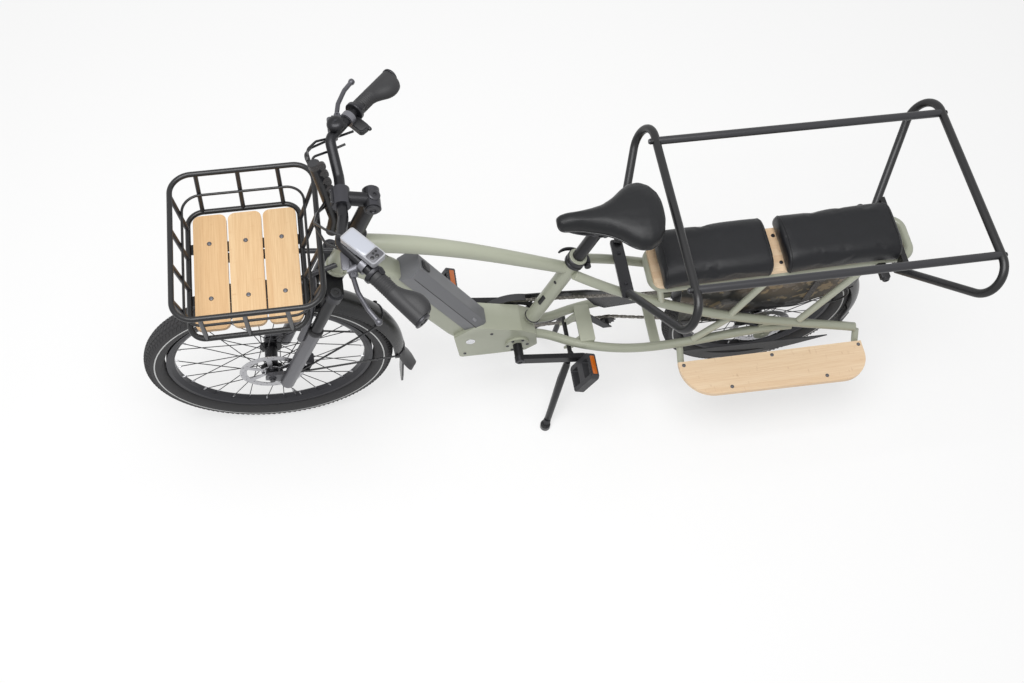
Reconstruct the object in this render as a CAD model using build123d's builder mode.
from build123d import *
import math
import os

os.makedirs("parts", exist_ok=True)

# ---------------------------------------------------------------------------
# Electric longtail cargo bike. Millimetres, +X forward, +Y left, +Z up.
# The ground is z = 0 and the bike stands upright on its two-legged stand.
# ---------------------------------------------------------------------------

# Wheels
front_axle_x = 708.0
rear_axle_x = -580.0
front_rim_radius = 255.0
rear_rim_radius = 205.0
front_tyre_height = 53.0
rear_tyre_height = 52.0
front_tyre_radius = front_rim_radius + front_tyre_height
rear_tyre_radius = rear_rim_radius + rear_tyre_height
front_tyre_width = 53.0
rear_tyre_width = 52.0
rim_width = 28.0
rim_depth = 20.0
front_hub_width = 100.0
rear_hub_width = 135.0
axle_radius = 5.0
axle_clearance = 0.05
front_spokes = 32
rear_spokes = 32
spoke_radius = 1.1
rotor_radius = 80.0
rotor_thickness = 2.0
front_rotor_y = 41.0
rear_rotor_y = 50.0

# Fenders, as the angle round the wheel at which each one ends
front_fender_end = 184.0
rear_fender_end = 192.0

# Steering
head_angle = 68.8
fork_offset = 45.0
head_length = 143.0
head_radius = 24.0
steerer_radius = 14.3
steerer_clearance = 0.05
leg_y = 62.0
leg_radius = 17.5
stanchion_radius = 14.0
leg_top = front_tyre_radius - 50.0
crown_low = front_tyre_radius + 102.0
crown_high = crown_low + 31.0
head_low = crown_high + 2.0
head_high = head_low + head_length
stem_pivot = head_high + 119.0
bar_radius = 11.1
grip_radius = 17.0
hose_radius = 2.6

# Cranks
bb_x = 82.0
bb_z = 300.0
bb_axle_radius = 12.0
crank_length = 168.0
crank_inner_y = 79.0
crank_thickness = 13.0
crank_droop = 11.0
pedal_y = 131.0
pedal_length = 92.0
pedal_width = 74.0
pedal_height = 22.0
pedal_tilt = 66.0
chain_y = -45.0
chain_width = 7.0
chain_height = 8.5
chainring_radius = 77.0
chain_gap = 0.3
sprocket_radius = 42.0
sprockets = 7
sprocket_pitch = 4.8
idler = (-183.0, 210.0)
idler_radius = 22.0
upper_jockey = (rear_axle_x - 8.0, rear_tyre_radius - 71.0)
lower_jockey = (rear_axle_x + 10.0, rear_tyre_radius - 123.0)
jockey_radius = 20.0

# Frame tubes
seat_tube_radius = 19.0
down_tube_width = 56.0
down_tube_depth = 58.0
stay_radius = 12.0
rack_radius = 11.0
rack_half_width = 55.0
rack_front_x = -240.0
rack_rear_x = -894.0
rack_front_z = 533.0
rack_rear_z = 556.0

# Saddle
saddle_low = 768.0
saddle_half_width = 93.0
saddle_height = 46.0

# Passenger rails
hoop_radius = 10.0
rail_radius = 9.5
rail_y = 203.0
front_hoop_x = -262.0
rear_hoop_x = -971.0
rail_z = 779.0

# Seat pads
pad_width = 146.0
pad_height = 57.0
pad_rounding = 50.0

# Footboards
board_top = 246.0
board_thickness = 12.0

# Basket
basket_top_z = 854.0
basket_low_z = 736.0
wire_radius = 6.0
hoop_wire_radius = 3.0
post_radius = 5.0

# Stand
stand_x = -60.0
stand_z = 245.0
stand_pin_radius = 6.0
stand_leg_y = 62.0
stand_leg_radius = 7.5
foot_x = 6.0
foot_y = 156.0

# The frame's origin lies midway between the front tyre and the rear hoop
midway_x = (front_axle_x + front_tyre_radius + rear_hoop_x - hoop_radius) / 2

front_axle = Vector(front_axle_x, 0, front_tyre_radius)
rear_axle = Vector(rear_axle_x, 0, rear_tyre_radius)
sine = math.sin(math.radians(head_angle))
cosine = math.cos(math.radians(head_angle))

# The steering frame: its origin is on the steering axis level with the front
# axle, +X points forward across the axis and +Z runs up it.
steer = Plane(
    origin=(front_axle.X - fork_offset * sine, 0, front_axle.Z - fork_offset * cosine),
    x_dir=(sine, 0, cosine),
    z_dir=(-cosine, 0, sine),
)


def steer_point(u, y, w):
    """World position of a point given in the steering frame."""
    return steer.from_local_coords(Vector(u, y, w))


# The middle of the bar, taken from the stem so that the bar follows it
bar_centre = steer_point(63, 0, stem_pivot - 6)
bar_shape = ((0, 0, 0), (0, 50, 0), (-10, 128, 30), (48, 202, 21), (127, 300, 1))


def beam(start, end, radius, mode=Mode.ADD):
    """Round bar from one point to another, added to the open part."""
    a = Vector(*start)
    b = Vector(*end)
    with BuildSketch(Plane(origin=a, z_dir=b - a)) as face:
        Circle(radius)
    extrude(face.sketch, amount=(b - a).length, mode=mode)


def bent_tube(points, radius, bend):
    """Round tube along straight runs joined by bends of one radius."""
    with BuildLine() as path:
        FilletPolyline(*points, radius=bend)
    with BuildSketch(Plane(origin=path.line @ 0, z_dir=path.line % 0)) as face:
        Circle(radius)
    sweep(face.sketch, path=path.line)


def curved_tube(points, radius):
    """Round tube along a smooth curve through the points."""
    with BuildLine() as path:
        Spline(*points)
    with BuildSketch(Plane(origin=path.line @ 0, z_dir=path.line % 0)) as face:
        Circle(radius)
    sweep(face.sketch, path=path.line)


def trim(*pieces):
    """Cut other pieces out of the open part, so that it only meets them."""
    for piece in pieces:
        add(piece.part, mode=Mode.SUBTRACT)


def head_gap():
    """Clear the open part out of the head tube's place."""
    beam(steer_point(0, 0, head_low), steer_point(0, 0, head_high), head_radius, Mode.SUBTRACT)


def radial_plane(centre, angle):
    """Plane through a wheel's axle: its x runs across, its y runs outward."""
    a = math.radians(angle)
    return Plane(origin=centre, x_dir=(0, 1, 0), z_dir=(math.sin(a), 0, -math.cos(a)))


def left_right(points):
    """The same points on the left and on the right of the bike."""
    return [points, [(x, -y, z) for x, y, z in points]]


def side_plane(y):
    """Plane across the bike at y: its x runs forward and its y runs up."""
    return Plane(origin=(0, y, 0), x_dir=(1, 0, 0), z_dir=(0, -1, 0))


def finish(name, builder):
    """Move a piece onto the midway origin, label it and write its STEP file."""
    piece = builder.part.moved(Location((-midway_x, 0, 0)))
    piece.label = name
    export_step(piece, f"parts/{name}.step")
    print(name, len(builder.part.solids()), round(builder.part.volume / 1000), "cm3")


# ---------------------------------------------------------------------------
# Wheels
# ---------------------------------------------------------------------------
def tyre_shape(centre, outer, width, bead):
    """A tyre: round outside, flat where it sits on the rim."""
    axis = Axis(centre, (0, 1, 0))
    middle = (outer + bead) / 2
    with BuildSketch(radial_plane(centre, 90)) as face:
        with Locations((0, middle + 1)):
            Ellipse(width / 2, (outer - bead) / 2 - 1)
        with Locations((0, bead + 8)):
            Rectangle(rim_width - 2, 16)
    revolve(face.sketch, axis=axis, revolution_arc=360)


def rim_shape(centre, bead):
    """A double-walled rim with a narrower inner edge."""
    axis = Axis(centre, (0, 1, 0))
    half = rim_width / 2
    with BuildSketch(radial_plane(centre, 90)) as face:
        with BuildLine():
            Polyline(
                (-half, bead),
                (half, bead),
                (half, bead - 9),
                (half - 7, bead - rim_depth),
                (7 - half, bead - rim_depth),
                (-half, bead - 9),
                close=True,
            )
        make_face()
    revolve(face.sketch, axis=axis, revolution_arc=360)


def hub_shape(centre, width, body, flange, flange_y, count, rim_inner):
    """A hub barrel with two flanges and crossed spokes out to the rim."""
    plane = Plane(origin=centre + Vector(0, -width / 2, 0), x_dir=(1, 0, 0), z_dir=(0, 1, 0))
    with BuildSketch(plane) as face:
        Circle(body)
    extrude(face.sketch, amount=width)
    for side in (-1, 1):
        with BuildSketch(plane.offset(width / 2 + side * flange_y - 2)) as face:
            Circle(flange)
        extrude(face.sketch, amount=4)
    step = 360 / count
    for i in range(count):
        side = 1 if i % 2 else -1
        lean = 62 if (i // 2) % 2 else -62
        outer_angle = math.radians(i * step)
        inner_angle = math.radians(i * step + lean)
        inner = flange - 4
        outer = rim_inner - 0.3
        start = centre + Vector(inner * math.cos(inner_angle), side * flange_y, inner * math.sin(inner_angle))
        end = centre + Vector(outer * math.cos(outer_angle), side * 3, outer * math.sin(outer_angle))
        beam(start, end, spoke_radius)
    with BuildSketch(plane.offset(-1)) as face:
        Circle(axle_radius + axle_clearance)
    extrude(face.sketch, amount=width + 2, mode=Mode.SUBTRACT)


def rotor_shape(centre, y):
    """A brake disc: a ring on six slanted arms round a small carrier."""
    plane = Plane(origin=centre + Vector(0, y - rotor_thickness / 2, 0), x_dir=(1, 0, 0), z_dir=(0, 1, 0))
    with BuildSketch(plane) as face:
        Circle(rotor_radius)
        Circle(rotor_radius - 14, mode=Mode.SUBTRACT)
        for i in range(6):
            with Locations(Location((0, 0, 0), (0, 0, 1), 60 * i)):
                with Locations(Location((46, 10, 0), (0, 0, 1), 22)):
                    Rectangle(50, 8)
        Circle(30)
        Circle(17, mode=Mode.SUBTRACT)
    extrude(face.sketch, amount=rotor_thickness)


with BuildPart() as front_tyre:
    tyre_shape(front_axle, front_tyre_radius, front_tyre_width, front_rim_radius)
finish("front_tyre", front_tyre)

with BuildPart() as rear_tyre:
    tyre_shape(rear_axle, rear_tyre_radius, rear_tyre_width, rear_rim_radius)
finish("rear_tyre", rear_tyre)

with BuildPart() as front_rim:
    rim_shape(front_axle, front_rim_radius)
finish("front_rim", front_rim)

with BuildPart() as rear_rim:
    rim_shape(rear_axle, rear_rim_radius)
finish("rear_rim", rear_rim)

with BuildPart() as front_hub:
    hub_shape(front_axle, front_hub_width - 4, 16, 28, 30, front_spokes, front_rim_radius - rim_depth)
finish("front_hub", front_hub)

with BuildPart() as rear_hub:
    hub_shape(rear_axle, rear_hub_width - 8, 17, 28, 27, rear_spokes, rear_rim_radius - rim_depth)
    # The sprockets, from the large inner one to the small outer one
    for k in range(sprockets):
        y = chain_y + sprocket_pitch * (sprockets // 2 - k)
        with BuildSketch(Plane(origin=rear_axle + Vector(0, y, 0), z_dir=(0, -1, 0))):
            Circle(sprocket_radius - chain_height / 2 - chain_gap + 6 * (sprockets // 2 - k))
            Circle(16, mode=Mode.SUBTRACT)
        extrude(amount=0.9, both=True)
finish("rear_hub", rear_hub)

with BuildPart() as front_rotor:
    rotor_shape(front_axle, front_rotor_y)
finish("front_rotor", front_rotor)

with BuildPart() as rear_rotor:
    rotor_shape(rear_axle, rear_rotor_y)
finish("rear_rotor", rear_rotor)

# ---------------------------------------------------------------------------
# Fork
# ---------------------------------------------------------------------------
with BuildPart() as fork_lowers:
    for side in (-1, 1):
        # The leg, closed at the bottom by a dropout that reaches forward to the axle
        with BuildSketch(steer.offset(-14)):
            with Locations((4, side * leg_y)):
                Circle(leg_radius)
        extrude(amount=leg_top + 14)
        with BuildSketch(Plane(origin=(0, side * 56, 0), x_dir=(1, 0, 0), z_dir=(0, 1, 0))):
            with BuildLine():
                points = [steer_point(u, 0, w) for u, w in ((0, 34), (60, 12), (60, -12), (0, -14))]
                Polyline(*[(p.X, -p.Z) for p in points], close=True)
            make_face()
        extrude(amount=5, both=True)
    # The brace over the tyre
    arch = [
        steer_point(28, -leg_y, leg_top - 46),
        steer_point(29, -leg_y + 4, leg_top + 32),
        steer_point(29, -28, front_tyre_radius + 44),
        steer_point(29, 28, front_tyre_radius + 44),
        steer_point(29, leg_y - 4, leg_top + 32),
        steer_point(28, leg_y, leg_top - 46),
    ]
    bent_tube(arch, 8, 22)
    # The axle that the front wheel turns on
    beam(front_axle - Vector(0, 56, 0), front_axle + Vector(0, 56, 0), axle_radius)
finish("fork_lowers", fork_lowers)

with BuildPart() as fork_crown:
    for side in (-1, 1):
        with BuildSketch(steer.offset(leg_top)):
            with Locations((4, side * leg_y)):
                Circle(stanchion_radius)
        extrude(amount=crown_high - leg_top - 9)
    with BuildSketch(steer.offset(crown_low)):
        with Locations((4, 0)):
            SlotCenterToCenter(2 * leg_y, 38, rotation=90)
    extrude(amount=crown_high - crown_low - 9)
    with BuildSketch(steer.offset(crown_low)):
        Circle(25)
    extrude(amount=crown_high - crown_low)
    with BuildSketch(steer.offset(crown_high)):
        Circle(steerer_radius)
    extrude(amount=stem_pivot - crown_high - 20)
finish("fork_crown", fork_crown)

with BuildPart() as stem:
    # Post, hinge barrel and forward arm of the tilting stem
    with BuildSketch(steer.offset(head_high + 2)):
        Circle(18)
        Circle(steerer_radius, mode=Mode.SUBTRACT)
    extrude(amount=stem_pivot - head_high - 12)
    pivot = steer_point(0, 0, stem_pivot)
    beam(pivot - Vector(0, 24, 0), pivot + Vector(0, 24, 0), 18)
    beam(bar_centre - Vector(0, 21, 0), bar_centre + Vector(0, 21, 0), 19)
    beam(pivot, bar_centre, 15)
    beam(bar_centre - Vector(0, 25, 0), bar_centre + Vector(0, 25, 0), bar_radius, Mode.SUBTRACT)
finish("stem", stem)


def bar_point(back, side, out, up):
    """A place by the bar: behind its centre, out to one side and up."""
    return bar_centre + Vector(-back, side * out, up)


with BuildPart() as handlebar:
    for side in (-1, 1):
        half = [bar_point(back, side, out, up) for back, out, up in bar_shape]
        bent_tube(half, bar_radius, 26)
finish("handlebar", handlebar)

with BuildPart() as grips:
    # A ribbed sleeve that widens at its outer end into a palm rest
    for side in (-1, 1):
        inner = bar_point(48, side, 202, 21)
        outer = bar_point(127, side, 300, 1)
        way = (outer - inner).normalized()
        length = (outer - inner).length
        with BuildSketch(Plane(origin=inner + way * 4, z_dir=way)) as face:
            Circle(grip_radius)
            Circle(bar_radius, mode=Mode.SUBTRACT)
        extrude(face.sketch, amount=length - 4)
        with BuildSketch(Plane(origin=outer, z_dir=way)) as face:
            Circle(grip_radius)
        extrude(face.sketch, amount=7)
        # The palm rest is a flat wing behind the bar
        up = way.cross(Vector(-way.Y, way.X, 0)).normalized()
        with BuildSketch(Plane(origin=inner - up * 5, x_dir=way, z_dir=up)) as face:
            with BuildLine():
                Spline((52, 0), (74, side * 22), (104, side * 36), (124, side * 26), (130, 0))
                Line((130, 0), (52, 0))
            make_face()
        extrude(face.sketch, amount=10)
        beam(inner, outer, bar_radius, Mode.SUBTRACT)
finish("grips", grips)

with BuildPart() as brake_levers:
    for side in (-1, 1):
        # Clamp round the bar, then the lever body and its blade before the grip
        a = bar_point(-10, side, 128, 30)
        b = bar_point(48, side, 202, 21)
        way = (b - a).normalized()
        middle = b - way * 26
        with BuildSketch(Plane(origin=middle - way * 7, z_dir=way)) as face:
            Circle(16)
            Circle(bar_radius, mode=Mode.SUBTRACT)
        extrude(face.sketch, amount=14)
        beam(middle + Vector(13, 0, -3), middle + Vector(34, side * 6, -6), 9)
        beam(bar_point(-2, side, 138, 18), bar_point(10, side, 196, 13), 9)
        blade = [(6, 186, 14), (14, 232, 12), (30, 270, 8), (48, 298, 2)]
        bent_tube([bar_point(back, side, out, up) for back, out, up in blade], 5, 24)
    trim(handlebar)
finish("brake_levers", brake_levers)

with BuildPart() as bar_controls:
    # Bell on the right with the thumb shifter behind it
    bell = bar_point(6, -1, 152, 43)
    with BuildSketch(Plane(origin=bell, z_dir=(0, 0, 1))) as face:
        Circle(18)
    extrude(face.sketch, amount=12, taper=20)
    beam(bell - Vector(0, -4, 17), bell + Vector(0, 0, 3), 6)
    with BuildSketch(Plane(origin=bar_point(52, -1, 172, 4), x_dir=(0.63, -0.78, 0), z_dir=(0, 0, 1))) as face:
        RectangleRounded(44, 26, 8)
    extrude(face.sketch, amount=12)
    trim(handlebar, brake_levers)
finish("bar_controls", bar_controls)

with BuildPart() as display:
    with BuildSketch(Plane(origin=bar_point(33, 1, 156, 44), x_dir=(-0.66, 0.75, 0), z_dir=(-0.05, 0, 1))) as face:
        RectangleRounded(91, 36, 6)
    extrude(face.sketch, amount=13)
    with BuildSketch(Plane(origin=bar_point(20, 1, 146, 37), x_dir=(-0.66, 0.75, 0), z_dir=(0, 0, 1))) as face:
        Rectangle(22, 26)
    extrude(face.sketch, amount=9)
    trim(handlebar)
finish("display", display)

with BuildPart() as front_fender:
    shell = front_tyre_radius - 8
    with BuildSketch(radial_plane(front_axle, front_fender_end)) as face:
        with BuildLine():
            outer_arc = CenterArc((0, shell), 36, 20, 140)
            inner_arc = CenterArc((0, shell), 34, 20, 140)
            Line(outer_arc @ 0, inner_arc @ 0)
            Line(outer_arc @ 1, inner_arc @ 1)
        make_face()
    revolve(axis=Axis(front_axle, (0, 1, 0)), revolution_arc=front_fender_end - 75)
    # The flap that hangs from its rear end
    flap = math.radians(front_fender_end)
    root = front_axle + Vector((shell + 34) * math.cos(flap), 0, (shell + 34) * math.sin(flap))
    with BuildSketch(Plane(origin=root, x_dir=(0, 1, 0), z_dir=(math.cos(flap), 0, math.sin(flap)))) as face:
        with BuildLine():
            half = [(18, -12), (20, 60), (27, 120), (24, 166)]
            Polyline(*half, *[(-x, y) for x, y in reversed(half)], close=True)
        make_face()
        fillet(face.vertices().group_by(Axis.Y)[-1], 16)
    extrude(face.sketch, amount=2.5, both=True)
    # Wire stays to the fork legs, and a bracket under the crown
    for side in (-1, 1):
        leg = steer_point(-10, side * 60, 40)
        for angle in (150, front_fender_end - 2):
            a = math.radians(angle)
            reach = shell + 18
            edge = front_axle + Vector(reach * math.cos(a), side * 33, reach * math.sin(a))
            beam(leg, edge, 2.5)
    beam(steer_point(4, 0, front_tyre_radius + 24), steer_point(4, 0, crown_low), 6)
    trim(fork_lowers, fork_crown)
finish("front_fender", front_fender)

with BuildPart() as front_caliper:
    with BuildSketch(steer.offset(32)):
        with Locations((-20, front_rotor_y)):
            RectangleRounded(40, 28, 5)
    extrude(amount=52)
    with BuildSketch(side_plane(front_rotor_y)):
        with Locations((front_axle.X, front_axle.Z)):
            Circle(rotor_radius + 2)
    extrude(amount=3, both=True, mode=Mode.SUBTRACT)
    trim(fork_lowers, front_fender)
finish("front_caliper", front_caliper)

with BuildPart() as cables:
    # Two hoses and a gear cable from the right, one hose and a lead from the
    # left, and the cloth sleeve that gathers them in front of the stem
    hoses = [
        [(2, -141, 18), (38, -122, 34), (58, -94, 44), (52, -66, 20)],
        [(-40, -158, 10), (12, -156, -8), (50, -124, 12), (64, -90, 34), (52, -64, 12)],
        [(-20, -128, 8), (16, -112, 10), (50, -92, 22), (50, -62, 6)],
        [(2, 141, 18), (40, 112, 16), (58, 56, -4), (52, 0, -44), (32, -42, -60)],
        [(-12, 134, 50), (34, 104, 46), (57, 60, 10), (54, 4, -40), (32, -40, -76)],
    ]
    for run in hoses:
        bent_tube([bar_centre + Vector(*point) for point in run], hose_radius, 14)
    sleeve = [(47, -64, 40), (34, -46, -36), (22, -33, -116), (33, -30, -163)]
    bent_tube([bar_centre + Vector(*point) for point in sleeve], 12, 40)
    trim(handlebar, brake_levers, bar_controls, display)
finish("cables", cables)

# ---------------------------------------------------------------------------
# Main frame
# ---------------------------------------------------------------------------
with BuildPart() as head_tube:
    with BuildSketch(steer.offset(head_low)):
        Circle(head_radius)
    extrude(amount=head_high - head_low)
    for w in (head_low, head_high - 10):
        with BuildSketch(steer.offset(w)):
            Circle(head_radius + 3)
        extrude(amount=10)
    with BuildSketch(steer.offset(head_low - 1)):
        Circle(steerer_radius + steerer_clearance)
    extrude(amount=head_high - head_low + 2, mode=Mode.SUBTRACT)
finish("head_tube", head_tube)

with BuildPart() as seat_tube:
    beam((41, 0, 362), (-52, 0, 632), seat_tube_radius)
    beam((-46, 0, 614), (-53.6, 0, 636), seat_tube_radius + 3)
finish("seat_tube", seat_tube)

with BuildPart() as top_tube:
    with BuildLine() as top_line:
        front = [steer_point(-16, 0, head_low + 100), steer_point(-112, 0, head_low + 114)]
        Spline(*front, (150, 0, 684), (-28, 0, 590))
    with BuildSketch(Plane(origin=top_line.line @ 0, z_dir=top_line.line % 0)):
        Circle(22)
    with BuildSketch(Plane(origin=top_line.line @ 1, z_dir=top_line.line % 1)):
        Circle(15)
    sweep(path=top_line.line, multisection=True)
    head_gap()
    trim(seat_tube, head_tube)
finish("top_tube", top_tube)

with BuildPart() as down_tube:
    with BuildLine() as down_line:
        front = steer_point(-18, 0, head_low + 42)
        FilletPolyline(front, (392, 0, 657), (236, 0, 381), (190, 0, 330), radius=90)
    with BuildSketch(Plane(origin=down_line.line @ 0, x_dir=(0, 1, 0), z_dir=down_line.line % 0)):
        RectangleRounded(down_tube_width, down_tube_depth, 12)
    sweep(path=down_line.line)
    head_gap()
    trim(top_tube, head_tube)
finish("down_tube", down_tube)

with BuildPart() as motor:
    # The shell round the drive unit closes the lower end of the down tube
    with BuildSketch(side_plane(0)) as face:
        with BuildLine():
            under = [(246, 366), (231, 258), (150, 256), (58, 256), (28, 282)]
            over = [(34, 338), (72, 366), (128, 384), (196, 408)]
            Polyline(*under, *over, close=True)
        make_face()
        fillet(face.vertices().filter_by_position(Axis.Y, 250, 345), 10)
    extrude(face.sketch, amount=38, both=True)
    with BuildSketch(side_plane(38)) as face:
        with Locations((bb_x, bb_z)):
            Circle(31)
    extrude(face.sketch, amount=-6)
    beam((bb_x, -60, bb_z), (bb_x, 60, bb_z), bb_axle_radius + axle_clearance, Mode.SUBTRACT)
    trim(down_tube, seat_tube)
finish("motor", motor)

with BuildPart() as battery:
    # A ridged case that lies along the top of the down tube
    way = Vector(-147, 0, -269).normalized()
    section = [(20, -28), (36, -6), (30, 28)]
    with BuildSketch(Plane(origin=(346, 0, 678), x_dir=(0, 1, 0), z_dir=way)) as face:
        with BuildLine():
            Polyline(*section, *[(-y, z) for y, z in reversed(section)], close=True)
        make_face()
        fillet(face.vertices(), 5)
    extrude(face.sketch, amount=330)
    trim(down_tube, top_tube, motor)
finish("battery", battery)

upper_stay = [
    (-44, 22, 590), (-120, 40, 548), (-266, 58, 468), (-470, 70, 372),
    (-655, 76, rear_tyre_radius + 49), (-830, 92, rear_tyre_radius + 11),
]
lower_stay = [
    (40, 24, 318), (0, 26, 303), (-60, 46, 288), (-110, 60, 280),
    (-220, 75, 266), (-325, 76, 263), (-440, 74, rear_tyre_radius + 15), (-650, 74, rear_tyre_radius + 33),
]

with BuildPart() as upper_stays:
    for run in left_right(upper_stay):
        curved_tube(run, stay_radius)
    trim(seat_tube, top_tube)
finish("upper_stays", upper_stays)

with BuildPart() as lower_stays:
    for run in left_right(lower_stay):
        curved_tube(run, stay_radius)
    for side in (-1, 1):
        with BuildSketch(side_plane(side * 71)):
            with Locations((rear_axle_x, rear_tyre_radius + 14)):
                SlotCenterToCenter(40, 44, rotation=90)
        extrude(amount=3, both=True)
    beam((rear_axle_x, -78, rear_tyre_radius), (rear_axle_x, 78, rear_tyre_radius), axle_radius)
    trim(motor, upper_stays)
finish("lower_stays", lower_stays)

with BuildPart() as cross_plates:
    with BuildSketch(Plane(origin=(-104, 0, 289))):
        RectangleRounded(40, 108, 6)
    extrude(amount=8)
    for side in (-1, 1):
        # Ears that carry the stand's pin
        with BuildSketch(side_plane(side * 35)):
            with BuildLine():
                low_z = stand_z - 12
                Polyline((-122, 291), (-86, 291), (stand_x + 12, low_z), (stand_x - 12, low_z), close=True)
            make_face()
            with Locations((stand_x, stand_z)):
                Circle(stand_pin_radius + axle_clearance, mode=Mode.SUBTRACT)
        extrude(amount=3, both=True)
    # The strap between the lower tubes ahead of the wheel
    with BuildSketch(Plane(origin=(-286, 0, 262))):
        RectangleRounded(26, 140, 4)
    extrude(amount=6)
    trim(lower_stays)
finish("cross_plates", cross_plates)

rack = [
    (rack_front_x, rack_half_width, rack_front_z),
    (rack_rear_x, rack_half_width, rack_rear_z),
    (rack_rear_x, -rack_half_width, rack_rear_z),
    (rack_front_x, -rack_half_width, rack_front_z),
]
rack_slope = (rack_rear_z - rack_front_z) / (rack_rear_x - rack_front_x)

with BuildPart() as rack_frame:
    with BuildLine() as ring:
        FilletPolyline(*rack, radius=30, close=True)
    with BuildSketch(Plane(origin=ring.line @ 0, z_dir=ring.line % 0)):
        Circle(rack_radius)
    sweep(path=ring.line)
finish("rack_frame", rack_frame)

with BuildPart() as rack_struts:
    for side in (-1, 1):
        beam((-256, side * 55, 533), (-268, side * 58, 478), 8)
        beam((-545, side * 55, 544), (-466, side * 69, 382), 9)
        beam((-466, side * 69, 362), (-385, side * 75, 276), 9)
        beam((-798, side * 55, 552), (-665, side * 76, 316), 9)
    trim(rack_frame, upper_stays, lower_stays)
finish("rack_struts", rack_struts)

with BuildPart() as deck_board:
    with BuildSketch(Plane(origin=(-545, 0, 554.9), x_dir=(1, 0, rack_slope), z_dir=(-rack_slope, 0, 1))):
        RectangleRounded(610, 124, 20)
    extrude(amount=12)
finish("deck_board", deck_board)


def seat_pad(x, z, length):
    """A cushion with a flat base and long edges rounded over the top."""
    with BuildSketch(Plane(origin=(x, 0, z), x_dir=(0, 1, 0), z_dir=(1, 0, rack_slope))) as face:
        with Locations((0, pad_height / 2)):
            Rectangle(pad_width, pad_height)
        fillet(face.vertices().group_by(Axis.Y)[-1], pad_rounding)
    extrude(face.sketch, amount=length / 2, both=True)


with BuildPart() as seat_pad_front:
    seat_pad(-391, 562, 270)
finish("seat_pad_front", seat_pad_front)

with BuildPart() as seat_pad_rear:
    seat_pad(-704, 573, 288)
finish("seat_pad_rear", seat_pad_rear)


def hoop(foot, lean, bar, bend):
    """A passenger hoop: feet on the rack, legs spread out, a level crossbar."""
    half = [foot, lean, bar]
    points = half + [(px, -py, pz) for px, py, pz in reversed(half)]
    bent_tube(points, hoop_radius, bend)


with BuildPart() as hoop_front:
    hoop((-172, 72, 560), (-240, 278, 719), (front_hoop_x, 247, rail_z), 50)
    # The flat plate that joins its feet, and the bolts that hold the rails
    with BuildSketch(Plane(origin=(-170, 0, 550))):
        RectangleRounded(30, 166, 6)
    extrude(amount=8)
    for side in (-1, 1):
        y = side * rail_y
        beam((front_hoop_x + 7, y, rail_z), (front_hoop_x + hoop_radius + 5, y, rail_z), 7)
    trim(upper_stays)
finish("hoop_front", hoop_front)

with BuildPart() as hoop_rear:
    hoop((-840, 90, 560), (-939, 270, 716), (rear_hoop_x, 249, rail_z), 54)
    # The flat bar that braces its legs behind the rear cushion
    with BuildSketch(Plane(origin=(-859, 0, 556))):
        Rectangle(14, 216)
    extrude(amount=27)
    trim(deck_board, rack_frame)
finish("hoop_rear", hoop_rear)

with BuildPart() as side_rails:
    for side in (-1, 1):
        beam((front_hoop_x, side * rail_y, rail_z), (rear_hoop_x, side * rail_y, rail_z), rail_radius)
    trim(hoop_front, hoop_rear)
finish("side_rails", side_rails)

with BuildPart() as footboards:
    for side in (-1, 1):
        with BuildSketch(Plane(origin=(0, 0, board_top - board_thickness))) as face:
            with BuildLine():
                points = [(-339, 124), (-339, 226), (-846, 233), (-846, 124)]
                Polyline(*[(px, side * py) for px, py in points], close=True)
            make_face()
            fillet(face.vertices().sort_by_distance(Vector(-339, side * 226, 0))[0], 88)
            fillet(face.vertices().sort_by_distance(Vector(-846, side * 233, 0))[0], 74)
        extrude(face.sketch, amount=board_thickness)
finish("footboards", footboards)

with BuildPart() as footboard_frames:
    for side in (-1, 1):
        points = [
            (-352, 80, 250),
            (-352, 114, 226),
            (-352, 150, 226),
            (-408, 212, 226),
            (-768, 216, 226),
            (-836, 156, 226),
            (-836, 118, 226),
            (-836, 94, 258),
        ]
        bent_tube([(px, side * py, pz) for px, py, pz in points], 9, 14)
    trim(footboards, lower_stays, upper_stays)
finish("footboard_frames", footboard_frames)

with BuildPart() as wheel_skirts:
    for side in (-1, 1):
        with BuildSketch(Plane(origin=(0, side * 39, 0), x_dir=(1, 0, 0), z_dir=(0, -1, 0))):
            with BuildLine():
                points = [(-345, 302), (-320, 526), (-800, 540), (-800, 400), (-650, 332), (-500, 324)]
                Polyline(*points, close=True)
            make_face()
        extrude(amount=1, both=True)
        # Two short lugs hold each sheet under the rack's tube
        for x in (-380, -760):
            tube_z = rack_front_z + rack_slope * (x - rack_front_x)
            beam((x, side * 41, tube_z - 14), (x, side * rack_half_width, tube_z), 4)
    trim(rack_frame)
finish("wheel_skirts", wheel_skirts)

with BuildPart() as heel_guards:
    # Leaf-shaped plates beside the wheel, each with one long slot
    for side in (-1, 1):
        with BuildSketch(side_plane(side * 90)) as face:
            with BuildLine():
                Spline((-354, 244), (-460, 180), (-616, 186), (-765, 234))
                Line((-765, 234), (-354, 244))
            make_face()
            with BuildLine():
                Spline((-420, 224), (-500, 200), (-600, 202))
                Spline((-600, 202), (-500, 214), (-420, 224))
            make_face(mode=Mode.SUBTRACT)
        extrude(face.sketch, amount=1.5, both=True)
    trim(footboard_frames, lower_stays)
finish("heel_guards", heel_guards)

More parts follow.
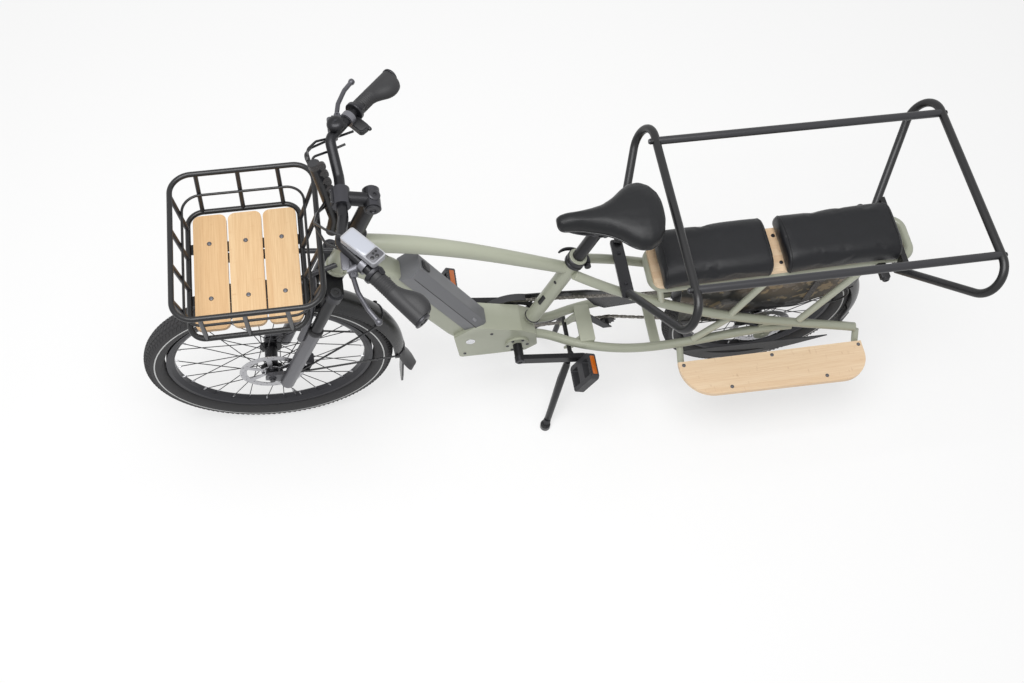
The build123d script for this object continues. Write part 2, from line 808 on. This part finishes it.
with BuildPart() as rear_fender:
    shell = rear_tyre_radius - 13
    with BuildSketch(radial_plane(rear_axle, rear_fender_end)) as face:
        with BuildLine():
            outer_arc = CenterArc((0, shell), 36, 15, 150)
            inner_arc = CenterArc((0, shell), 34, 15, 150)
            Line(outer_arc @ 0, inner_arc @ 0)
            Line(outer_arc @ 1, inner_arc @ 1)
        make_face()
    revolve(axis=Axis(rear_axle, (0, 1, 0)), revolution_arc=rear_fender_end - 25)
    # The flap that hangs from its rear end
    flap = math.radians(rear_fender_end)
    root = rear_axle + Vector((shell + 34) * math.cos(flap), 0, (shell + 34) * math.sin(flap))
    with BuildSketch(Plane(origin=root, x_dir=(0, 1, 0), z_dir=(math.cos(flap), 0, math.sin(flap)))) as face:
        with BuildLine():
            Polyline((-20, -12), (20, -12), (28, 78), (-28, 78), close=True)
        make_face()
        fillet(face.vertices().group_by(Axis.Y)[-1], 14)
    extrude(face.sketch, amount=2.5, both=True)
    # Four studs stand the shell off from the skirts
    for angle in (60, 120):
        stud = rear_axle + Vector(1, 0, 0).rotate(Axis.Y, -angle) * (shell + 14)
        for side in (-1, 1):
            beam(stud + Vector(0, side * 31, 0), stud + Vector(0, side * 39, 0), 4)
    trim(wheel_skirts)
finish("rear_fender", rear_fender)

with BuildPart() as tail_light:
    # A lamp under the rear end of the rack
    with BuildSketch(Plane(origin=(rack_rear_x + 20, 0, rack_rear_z - 50), x_dir=(0, 1, 0), z_dir=(-1, 0, 0))):
        RectangleRounded(84, 34, 8)
    extrude(amount=16)
    beam((rack_rear_x + 12, 0, rack_rear_z - 36), (rack_rear_x + 4, 0, rack_rear_z - 4), 5)
    trim(rack_frame)
finish("tail_light", tail_light)

with BuildPart() as seat_post:
    beam((-53.6, 0, 637), (-94, 0, 756), 15)
    with BuildSketch(Plane(origin=(-98, 0, 752))):
        RectangleRounded(60, 50, 8)
    extrude(amount=saddle_low - 752)
finish("seat_post", seat_post)


def set_in(points, distance):
    """A closed outline moved inward by a distance."""
    moved = []
    for k, (x, y) in enumerate(points):
        x0, y0 = points[k - 1]
        x1, y1 = points[(k + 1) % len(points)]
        length = math.hypot(x1 - x0, y1 - y0)
        moved.append((x - distance * (y1 - y0) / length, y + distance * (x1 - x0) / length))
    return moved


with BuildPart() as saddle:
    # Broad at the back, narrow at the nose, and rounded all along its edges
    w = saddle_half_width
    half = [(-226, 0.6 * w), (-188, w), (-145, 0.8 * w), (-95, 40), (-40, 27), (2, 19)]
    outline = [(18, 0)] + [(px, -py) for px, py in reversed(half)] + [(-236, 0)] + half
    sections = []
    for height, distance in ((0, -12), (10, -2), (24, 0), (saddle_height - 16, -3), (saddle_height, -15)):
        with BuildSketch(Plane(origin=(0, 0, saddle_low + height))) as face:
            with BuildLine():
                Spline(*set_in(outline, distance), periodic=True)
            make_face()
        sections.append(face.sketch)
    loft(sections)
finish("saddle", saddle)

# ---------------------------------------------------------------------------
# Drive
# ---------------------------------------------------------------------------
droop = math.radians(crank_droop)


def pedal_centre(side):
    """Where a pedal's axle meets its crank, seen from the side."""
    return bb_x - side * crank_length * math.cos(droop), bb_z - side * crank_length * math.sin(droop)


with BuildPart() as crankset:
    beam((bb_x, -crank_inner_y - 6, bb_z), (bb_x, crank_inner_y + 6, bb_z), bb_axle_radius)
    for side in (-1, 1):
        px, pz = pedal_centre(side)
        # The arm, drawn in a plane whose y runs up
        plane = Plane(origin=(bb_x, side * crank_inner_y, bb_z), x_dir=(1, 0, 0), z_dir=(0, -1, 0))
        angle = crank_droop if side < 0 else 180 + crank_droop
        with BuildSketch(plane):
            with Locations(((px - bb_x) / 2, (pz - bb_z) / 2)):
                SlotCenterToCenter(crank_length, 26, rotation=angle)
        extrude(amount=-side * crank_thickness)
        beam((px, side * crank_inner_y, pz), (px, side * (pedal_y + pedal_width / 2 - 6), pz), axle_radius)
    with BuildSketch(Plane(origin=(bb_x, chain_y, bb_z), x_dir=(1, 0, 0), z_dir=(0, -1, 0))):
        Circle(chainring_radius - chain_height / 2 - chain_gap)
        Circle(chainring_radius - 20, mode=Mode.SUBTRACT)
        for k in range(5):
            with Locations(Location((0, 0, 0), (0, 0, 1), 72 * k)):
                with Locations((32, 0)):
                    Rectangle(60, 12)
        Circle(22)
    extrude(amount=1.5, both=True)
finish("crankset", crankset)


def pedal(side):
    """A platform pedal at rest, rear edge up, with an open middle and an axle bore."""
    px, pz = pedal_centre(side)
    a = math.radians(pedal_tilt)
    across = (math.cos(a), 0, -math.sin(a))
    tread = Plane(origin=(px, side * pedal_y, pz), x_dir=across, z_dir=(math.sin(a), 0, math.cos(a)))
    with BuildSketch(tread.offset(-pedal_height / 2)) as face:
        RectangleRounded(pedal_length, pedal_width, 10)
        for way in (-1, 1):
            with Locations((way * 25, 0)):
                RectangleRounded(26, pedal_width - 26, 4, mode=Mode.SUBTRACT)
    extrude(face.sketch, amount=pedal_height)
    inner = side * (pedal_y - pedal_width / 2 - 1)
    outer = side * (pedal_y + pedal_width / 2 - 5)
    beam((px, inner, pz), (px, outer, pz), axle_radius + axle_clearance, Mode.SUBTRACT)


with BuildPart() as pedal_left:
    pedal(1)
finish("pedal_left", pedal_left)

with BuildPart() as pedal_right:
    pedal(-1)
finish("pedal_right", pedal_right)


def belt(circles, shift):
    """Closed line round pulleys: each is (x, z, radius, 1 inside or -1 outside)."""
    ends = []
    for k in range(len(circles)):
        x1, z1, r1, s1 = circles[k]
        x2, z2, r2, s2 = circles[(k + 1) % len(circles)]
        a = s1 * r1 + shift
        b = s2 * r2 + shift
        length = math.hypot(x2 - x1, z2 - z1)
        normal = math.atan2(z2 - z1, x2 - x1) + math.acos((b - a) / length)
        n = Vector(math.cos(normal), math.sin(normal))
        ends.append((Vector(x1, z1) - n * a, Vector(x2, z2) - n * b))
    for k in range(len(circles)):
        x, z, r, s = circles[k]
        start = ends[k - 1][1]
        end = ends[k][0]
        first = math.degrees(math.atan2(start.Y - z, start.X - x))
        last = math.degrees(math.atan2(end.Y - z, end.X - x))
        turn = (last - first) % 360 if s > 0 else -((first - last) % 360)
        CenterArc((x, z), abs(s * r + shift), first, turn)
        Line(ends[k][0], ends[k][1])


pulleys = [
    (bb_x, bb_z, chainring_radius, 1),
    (rear_axle_x, rear_tyre_radius, sprocket_radius, 1),
    (upper_jockey[0], upper_jockey[1], jockey_radius, -1),
    (lower_jockey[0], lower_jockey[1], jockey_radius, 1),
    (idler[0], idler[1], idler_radius, -1),
]

with BuildPart() as chain:
    with BuildSketch(Plane(origin=(0, chain_y, 0), x_dir=(1, 0, 0), z_dir=(0, -1, 0))):
        with BuildLine() as outside:
            belt(pulleys, chain_height / 2)
        make_face(outside.line.edges())
        with BuildLine() as inside:
            belt(pulleys, -chain_height / 2)
        make_face(inside.line.edges(), mode=Mode.SUBTRACT)
    extrude(amount=chain_width / 2, both=True)
finish("chain", chain)

with BuildPart() as chain_guide:
    # Idler wheel under the chain and the arm that holds it to the frame
    with BuildSketch(Plane(origin=(idler[0], chain_y, idler[1]), x_dir=(1, 0, 0), z_dir=(0, -1, 0))):
        Circle(idler_radius - chain_height / 2 - chain_gap)
    extrude(amount=3, both=True)
    with BuildSketch(side_plane(-28)):
        with BuildLine():
            low_z = idler[1] - 8
            Polyline((-122, 289), (-94, 289), (idler[0] + 12, low_z), (idler[0] - 12, low_z), close=True)
        make_face()
    extrude(amount=2, both=True)
    beam((idler[0], chain_y - 3, idler[1]), (idler[0], -27, idler[1]), 5)
    trim(cross_plates, lower_stays)
finish("chain_guide", chain_guide)

with BuildPart() as derailleur:
    for centre in (upper_jockey, lower_jockey):
        with BuildSketch(Plane(origin=(centre[0], chain_y, centre[1]), x_dir=(1, 0, 0), z_dir=(0, -1, 0))):
            Circle(jockey_radius - chain_height / 2 - chain_gap)
        extrude(amount=2.5, both=True)
    for y in (chain_y - 7, chain_y + 7):
        with BuildSketch(Plane(origin=(0, y, 0), x_dir=(1, 0, 0), z_dir=(0, -1, 0))):
            mid = Vector((upper_jockey[0] + lower_jockey[0]) / 2, (upper_jockey[1] + lower_jockey[1]) / 2)
            span = math.hypot(upper_jockey[0] - lower_jockey[0], upper_jockey[1] - lower_jockey[1])
            slant = math.degrees(math.atan2(lower_jockey[1] - upper_jockey[1], lower_jockey[0] - upper_jockey[0]))
            with Locations(mid):
                SlotCenterToCenter(span, 22, rotation=slant)
        extrude(amount=1, both=True)
    for centre in (upper_jockey, lower_jockey):
        beam((centre[0], chain_y - 8, centre[1]), (centre[0], chain_y + 8, centre[1]), 4)
    beam((upper_jockey[0], -53, upper_jockey[1]), (upper_jockey[0], -80, upper_jockey[1]), 8)
    beam((upper_jockey[0], -72, upper_jockey[1] - 4), (rear_axle_x, -72, 226), 7)
finish("derailleur", derailleur)

with BuildPart() as chain_guard:
    # A hood over the chainring and a plate outside the chain, as one piece
    hood = chainring_radius + 13
    with BuildSketch(side_plane(-57)) as face:
        with BuildLine():
            outer_arc = CenterArc((bb_x, bb_z), hood, 18, 92)
            inner_arc = CenterArc((bb_x, bb_z), hood - 3, 18, 92)
            Line(outer_arc @ 0, inner_arc @ 0)
            Line(outer_arc @ 1, inner_arc @ 1)
        make_face()
    extrude(face.sketch, amount=-19)
    with BuildSketch(side_plane(-54)) as face:
        with BuildLine():
            outer_arc = CenterArc((bb_x, bb_z), hood, 18, 92)
            inner_arc = CenterArc((bb_x, bb_z), hood - 18, 18, 92)
            Line(outer_arc @ 0, inner_arc @ 0)
            top = outer_arc @ 1
            low = inner_arc @ 1
            upper_edge = [(-40, 378), (-112, 370), (-190, 344), (-262, 300)]
            lower_edge = [(-262, 272), (-172, 264), (-142, 286), (-112, 334), (-40, 347)]
            Polyline(top, *upper_edge, *lower_edge, low)
        make_face()
    extrude(face.sketch, amount=3)
    # It is held by a bracket on the motor in front and by the stay behind
    beam((165, -44, 339), (165, -34, 339), 4)
    trim(motor, lower_stays)
finish("chain_guard", chain_guard)

with BuildPart() as rear_caliper:
    with BuildSketch(Plane(origin=(-520, rear_rotor_y, 0), x_dir=(1, 0, 0), z_dir=(0, -1, 0))):
        with Locations((0, 308)):
            RectangleRounded(44, 34, 8)
    extrude(amount=8, both=True)
    # The arm that holds it to the dropout
    beam((-530, rear_rotor_y + 7, 304), (rear_axle_x + 8, 71, 288), 5.5)
    with BuildSketch(Plane(origin=rear_axle + Vector(0, rear_rotor_y, 0), x_dir=(1, 0, 0), z_dir=(0, -1, 0))):
        Circle(rotor_radius + 2)
    extrude(amount=3, both=True, mode=Mode.SUBTRACT)
    trim(lower_stays, upper_stays, rack_frame)
finish("rear_caliper", rear_caliper)

# ---------------------------------------------------------------------------
# Basket
# ---------------------------------------------------------------------------
def basket_corner(height):
    """Front x, rear x, half width and z of the basket, from floor (0) to rim (1)."""
    front = 823 + 14 * height
    rear = 575 - 45 * height
    half = 162 + 18 * height
    return front, rear, half, basket_low_z + (basket_top_z - basket_low_z) * height


def basket_ring(height, radius, bend, inset=0):
    """One closed hoop of the basket, set in from the corners by the inset."""
    front, rear, half, z = basket_corner(height)
    front -= inset
    rear += inset
    half -= inset
    with BuildLine() as ring:
        corners = [(front, half, z), (rear, half, z), (rear, -half, z), (front, -half, z)]
        FilletPolyline(*corners, radius=bend, close=True)
    with BuildSketch(Plane(origin=ring.line @ 0, z_dir=ring.line % 0)) as face:
        Circle(radius)
    sweep(face.sketch, path=ring.line)


with BuildPart() as basket_rim:
    basket_ring(1, wire_radius, 45)
finish("basket_rim", basket_rim)

with BuildPart() as basket_hoop:
    # The thin middle wire lies inside the posts
    basket_ring(0.52, hoop_wire_radius, 40, post_radius + hoop_wire_radius - 1)
finish("basket_hoop", basket_hoop)

with BuildPart() as basket_base:
    basket_ring(0, wire_radius, 35)
    f1, r1, h1, z1 = basket_corner(1)
    f0, r0, h0, z0 = basket_corner(0)
    for side in (-1, 1):
        # Straps that run front to back under the slats
        with BuildSketch(Plane(origin=((f0 + r0) / 2, side * 66, z0 - 6))):
            Rectangle(f0 - r0, 24)
        extrude(amount=5)
finish("basket_base", basket_base)

with BuildPart() as basket_posts:
    for side in (-1, 1):
        for low_x, top_x in ((609, 607), (699, 693), (789, 782)):
            beam((low_x, side * h0, z0), (top_x, side * h1, z1), post_radius)
    for part in (0.14, 0.38, 0.62, 0.86):
        top_y = h1 * (2 * part - 1)
        low_y = h0 * (2 * part - 1)
        beam((f0, low_y, z0), (f1, top_y, z1), post_radius)
        beam((r0, low_y, z0), (r1, top_y, z1), post_radius)
    trim(basket_rim, basket_hoop, basket_base)
finish("basket_posts", basket_posts)

with BuildPart() as basket_slats:
    for slat_x in (774, 697, 620):
        with BuildSketch(Plane(origin=(slat_x, 0, z0 - 1))):
            RectangleRounded(73, 292, 16)
        extrude(amount=9)
finish("basket_slats", basket_slats)

with BuildPart() as basket_mount:
    # Arms from the head tube to two flat bars under the basket
    for side in (-1, 1):
        beam(steer_point(12, side * 18, head_low + 37), (604, side * 40, z0 - 8), 6)
        with BuildSketch(Plane(origin=((f0 + 580) / 2, side * 40, z0 - 12.5))):
            Rectangle(f0 - 604, 22)
        extrude(amount=6.5)
    head_gap()
    trim(head_tube, down_tube, top_tube, basket_base, basket_slats)
finish("basket_mount", basket_mount)

# ---------------------------------------------------------------------------
# Stand
# ---------------------------------------------------------------------------
with BuildPart() as stand_legs:
    beam((stand_x, -stand_leg_y, stand_z), (stand_x, stand_leg_y, stand_z), stand_pin_radius)
    for side in (-1, 1):
        points = [
            (stand_x, side * stand_leg_y, stand_z + 8),
            (stand_x + 15, side * stand_leg_y, 112),
            (foot_x, side * foot_y, 8),
        ]
        bent_tube(points, stand_leg_radius, 30)
        beam((foot_x, side * foot_y, 0), (foot_x, side * foot_y, 16), 14)
finish("stand_legs", stand_legs)
